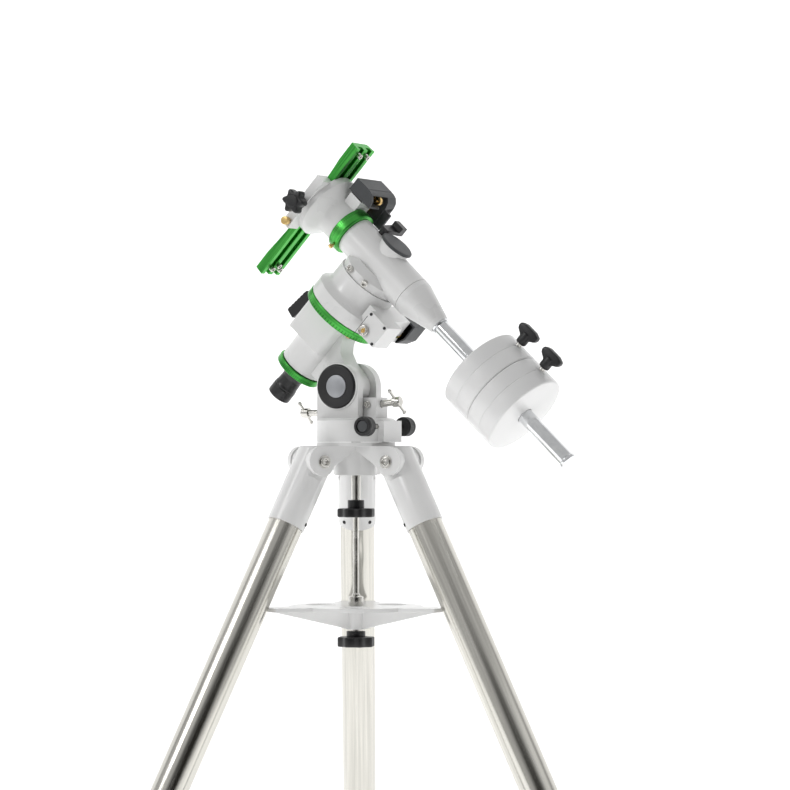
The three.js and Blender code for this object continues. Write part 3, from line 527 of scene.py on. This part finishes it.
def worm_block():
    cap = spot(POLAR, 57, -42.3, -63, (0, -1, 0))
    ring = [(3.0, 0.2), (7.3, 0.2), (7.3, 2.8), (6.6, 3.7), (5.4, 3.7), (5.0, 2.6), (3.0, 2.6),
            (3.0, 0.2)]
    low = spot(POLAR, 57, 0, -63, (0, 1, 0))
    worm = [(0, -44.6), (5, -44.6), (5, -16), (8.6, -14), (8.6, 14), (5, 16), (5, 38), (7.5, 38),
            (7.5, 43), (0, 43)]
    remade("ra_worm", lathe(worm, 0.4, 48), low)
    piece("ra_worm_end_ring", "ra_worm", "nickel", lathe(ring, 0.4, 48), cap)
    piece("ra_worm_end_slot_a", "ra_worm", "brass", brick(-3.8, 3.8, -0.7, 0.7, 2.2, 3.2, 0.2), cap)
    for k, (x, z) in enumerate(((51, -41), (77, -41), (77, -67.5))):
        bolt(f"worm_block_screw_{k}", "ra_head", spot(POLAR, x, -42.1, z, (0, -1, 0)), 2.0, 0.8,
             "black_plastic")
    # A thin near-black strip along the worm block's seam: painted shade in the gap.
    seam_shade_strip = brick(0, 31, -0.25, 0.25, -0.2, 0.25, 0.0)
    piece("worm_block_seam_painted_shade", "ra_head", "black_plastic", seam_shade_strip,
          spot(POLAR, 48.5, -42.0, -46, (0, -1, 0)), GAP_SHADE)
    for name, node in (("ra_worm_wheel", "ra_worm_wheel"), ("dec_worm_wheel", "dec_worm_wheel")):
        refined(node, 0.4)


# ---------------------------------------------------------------- declination axis
def dec_axis():
    refined("dec_housing", 1.5, base=POLAR)
    refined("dec_shaft", 0.3)
    refined("saddle", 1.5, base=POLAR)
    refined("dec_clutch_lever", 1.4)
    refined("dovetail_bar", 0.7, base=POLAR)
    ring = [(19, -70.7), (29.6, -70.7), (30.5, -69.6), (30.5, -57.4), (29.9, -56.4), (29.9, -55.3),
            (19, -55.3), (19, -70.7)]
    remade("dec_setting_circle", lathe(ring, 0.4, 96), DEC, DEC_MARKS)
    thumb = spot(POLAR, -60.5, -21.5, -21.5, (0, -1, -1))
    shaft = lathe([(0, -1), (1.6, -1), (1.6, 3.0), (0, 3.0)], 0.2, 20)
    piece("dec_circle_thumbscrew", "dec_setting_circle", "brass",
          merged(shaft, prism(knurled(3.0, 0.3, 20), 2.5, 6.5, 0.3)), thumb)
    cap = [(0, 20), (15, 20), (15, 29.5), (22, 29.5), (22.5, 30.4), (22.4, 32.4), (21, 33.4),
           (12, 33.5), (0, 33.5)]
    remade("polar_cap", lathe(cap, 0.5, 96), POLAR)
    saddle_screws()
    drive_cover()
    counterweights()


LENS = moulded("dark_lens", (0.01, 0.012, 0.02), (0.006, 0.006, 0.012), 0.08)


def saddle_screws():
    knob = spot(POLAR, -120, 0, -5, (0, -1, 0))
    star = prism(lobed(16, 4.5, 6), 56, 69, 2.2)
    boss = lathe([(0, 48), (8, 48), (8, 57), (0, 57)], 0.8)
    crown = lathe([(0, 66), (8.2, 66), (8.2, 69.6), (7.4, 70.2), (0, 70.4)], 0.4)
    remade("saddle_clamp_knob", merged(star, boss, crown), knob)
    piece("saddle_clamp_stud", "saddle_clamp_knob", "nickel",
          lathe([(0, 22), (3.9, 22), (3.9, 49), (0, 49)], 0.3, 32), knob)
    small = spot(POLAR, -120, 0, -36, (0, -1, 0))
    head = prism(knurled(5.5, 0.5, 26), 47, 54, 0.5)
    remade("saddle_safety_screw", merged(lathe([(0, 22), (2.9, 22), (2.9, 48), (0, 48)], 0.3, 24),
                                         head), small, crease=50)
    z_low = (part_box("dovetail_bar")[0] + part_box("dovetail_bar")[1]) / 2
    middle = (POLAR.inverted() @ z_low).z / MM
    for k, (q, y) in enumerate(((96, -9), (96, 9), (-94, -9), (-94, 9), (-88, 0))):
        place = spot(POLAR, -115.9, y, middle + q, (1, 0, 0))
        bolt(f"bar_bolt_{k}", "dovetail_bar", place, 3.6, 4.6)


def drive_cover():
    refined("dec_drive_cover", 1.4, base=POLAR)
    worm = spot(POLAR, -82, 0, 31.6, (0, 1, 0))
    shape = [(0, -7), (7.2, -7), (7.2, 12), (4, 13), (4, 22), (7, 22.2), (7, 27), (0, 27)]
    remade("dec_worm", merged(lathe(shape, 0.3, 48), prism(knurled(10, 1.2, 30), 22.4, 26.6, 0.2)),
           worm, crease=50)
    for k, (s, q, r) in enumerate(((-66, 49, 5.6), (-74, 47, 4.2))):
        gear = merged(prism(knurled(r, 0.9, 18), 12, 17, 0.2),
                      lathe([(0, 8), (1.6, 8), (1.6, 21), (0, 21)], 0.2, 20))
        piece(f"dec_idler_gear_{k}", "dec", "brass", gear, spot(POLAR, s, 0, q, (0, 1, 0)), crease=50)


def counterweights():
    refined("shaft_cone", 1.2, base=DEC)
    bar_low = 68.5
    tip = 363.0
    bar = [(0, bar_low), (10, bar_low), (10, tip - 5.5), (9.4, tip - 5.2), (9.4, tip - 4.8),
           (11.5, tip - 4.4), (11.5, tip - 0.8),
           (10.7, tip), (0, tip)]
    remade("counterweight_bar", lathe(bar, 0.4, 96), DEC)
    collar = [(10.3, 114.8), (12.6, 114.8), (12.2, 117), (10.3, 117), (10.3, 114.8)]
    piece("bar_collar", "dec", "chrome", lathe(collar, 0.3), DEC)
    for name, knob_middle in (("upper", 213.75), ("lower", 257.55)):
        low, high = knob_middle - 21.75, knob_middle + 21.75
        edge = 1.6
        groove = [(56.5, knob_middle - 0.6), (55.9, knob_middle), (56.5, knob_middle + 0.6)]
        disc = [(10.4, low), (56.5 - edge, low), (56.5, low + edge), *groove, (56.5, high - edge),
                (56.5 - edge, high),
                (10.4, high), (10.4, low)]
        remade(f"counterweight_{name}", lathe(disc, 0.8, 128), DEC)
        weight_knob(name, knob_middle)


def weight_knob(name, middle):
    base = spot(POLAR, middle, 0, 0)
    half = [(5, 62), (6.5, 69), (14, 73.5), (16, 77), (15.2, 81.5), (8, 84)]
    wings = half + [(-x, z) for x, z in reversed(half)]
    wing = tilted(prism([(x, -z) for x, z in wings], -4.8, 4.8, 1.8),
                  Matrix.Rotation(-math.pi / 2, 4, "X"))
    boss = lathe([(0, 60.5), (6.8, 60.5), (7.2, 64), (6.6, 76), (0, 77)], 1.0, 40)
    remade(f"counterweight_knob_{name}", merged(wing, boss), base)
    piece(f"weight_screw_{name}", f"counterweight_knob_{name}", "nickel",
          lathe([(0, 10.7), (3.9, 10.7), (3.9, 62), (0, 62)], 0.3, 32),
          base)


tripod()
azimuth_base()
polar_axis()
dec_axis()


# ---------------------------------------------------------------- floor, light and camera
# The two shifts are shares of the picture's width. The panel is a cone seen from the object.
VIEW_TURN = math.radians(31)
VIEW_DISTANCE = 4.0
AXIS_LEFT_OF_CENTRE = 0.0494
HUB_BELOW_CENTRE = 0.0595
PANEL_TURN = VIEW_TURN + math.radians(10)
PANEL_EDGE = math.radians(38)
PANEL_CORE = math.radians(22)
ROOM_BRIGHTNESS = 0.56
SWEEP_GLOW = 0.62


def white_room():
    """A white room with one dark wall panel, which the tubes and the bar mirror as their dark band."""
    world = bpy.data.worlds.new("white_room")
    world.use_nodes = True
    nodes, links = world.node_tree.nodes, world.node_tree.links
    place = nodes.new("ShaderNodeTexCoord")
    dot = nodes.new("ShaderNodeVectorMath")
    dot.operation = "DOT_PRODUCT"
    dot.inputs[1].default_value = (math.sin(PANEL_TURN), -math.cos(PANEL_TURN), 0)
    links.new(place.outputs["Generated"], dot.inputs[0])
    ramp = nodes.new("ShaderNodeValToRGB")
    ramp.color_ramp.elements[0].position = math.cos(PANEL_EDGE)
    ramp.color_ramp.elements[0].color = (1, 1, 1, 1)
    ramp.color_ramp.elements[1].position = math.cos(PANEL_CORE)
    ramp.color_ramp.elements[1].color = (0.035, 0.032, 0.027, 1)
    links.new(dot.outputs["Value"], ramp.inputs["Fac"])
    background = nodes["Background"]
    links.new(ramp.outputs["Color"], background.inputs["Color"])
    background.inputs["Strength"].default_value = ROOM_BRIGHTNESS
    bpy.context.scene.world = world


def studio():
    mat, nodes, links, shader = material("pale_sweep", (0.93, 0.93, 0.93), 0.0, 0.9)
    tint(nodes, links, shader, noise(nodes, links, 0.6), (0.92, 0.92, 0.92), (0.94, 0.94, 0.94))
    shader.inputs["Emission Color"].default_value = (1, 1, 1, 1)
    shader.inputs["Emission Strength"].default_value = SWEEP_GLOW
    mesh = bmesh.new()
    steps = [(-1.5, 0)] + [(6 + 3 * math.sin(a),
                            3 - 3 * math.cos(a)) for a in (0, 0.4, 0.8, 1.2, 1.57)] + [(9, 25)]
    rows = [[mesh.verts.new((x, depth, height)) for x in (-30, 30)] for depth, height in steps]
    for first, second in zip(rows, rows[1:]):
        mesh.faces.new((first[0], first[1], second[1], second[0]))
    data = bpy.data.meshes.new("sweep")
    mesh.to_mesh(data)
    mesh.free()
    data.shade_smooth()
    data.materials.append(mat)
    sweep = bpy.data.objects.new("sweep", data)
    sweep.rotation_euler.z = VIEW_TURN
    bpy.context.scene.collection.objects.link(sweep)

    white_room()
    target = Vector((AXIS_X, 0, HUB_TOP + 0.1))
    lamps = (("key", (-2.4, -1.6, 1.6), 1.1, 24), ("fill", (2.6, -1.2, 0.6), 1.6, 3),
             ("top", (0.3, 1.2, 2.8), 1.5, 9))
    for name, offset, size, watts in lamps:
        lamp = bpy.data.lights.new(name, "AREA")
        lamp.energy = watts
        lamp.size = size
        obj = bpy.data.objects.new(name, lamp)
        obj.location = target + Matrix.Rotation(VIEW_TURN, 3, "Z") @ Vector(offset)
        obj.rotation_euler = (target - obj.location).to_track_quat("-Z", "Y").to_euler()
        bpy.context.scene.collection.objects.link(obj)


def camera():
    lens = bpy.data.cameras.new("camera")
    lens.lens = 144
    lens.sensor_width = 36
    lens.shift_x = AXIS_LEFT_OF_CENTRE
    lens.shift_y = HUB_BELOW_CENTRE
    lens.clip_end = 100
    obj = bpy.data.objects.new("camera", lens)
    back = Vector((math.sin(VIEW_TURN), -math.cos(VIEW_TURN), 0)) * VIEW_DISTANCE
    obj.location = Vector((AXIS_X, 0, HUB_TOP)) + back
    obj.rotation_euler = (math.pi / 2, 0, VIEW_TURN)
    bpy.context.scene.collection.objects.link(obj)
    bpy.context.scene.camera = obj


studio()
camera()
bpy.context.scene.view_settings.view_transform = "Standard"
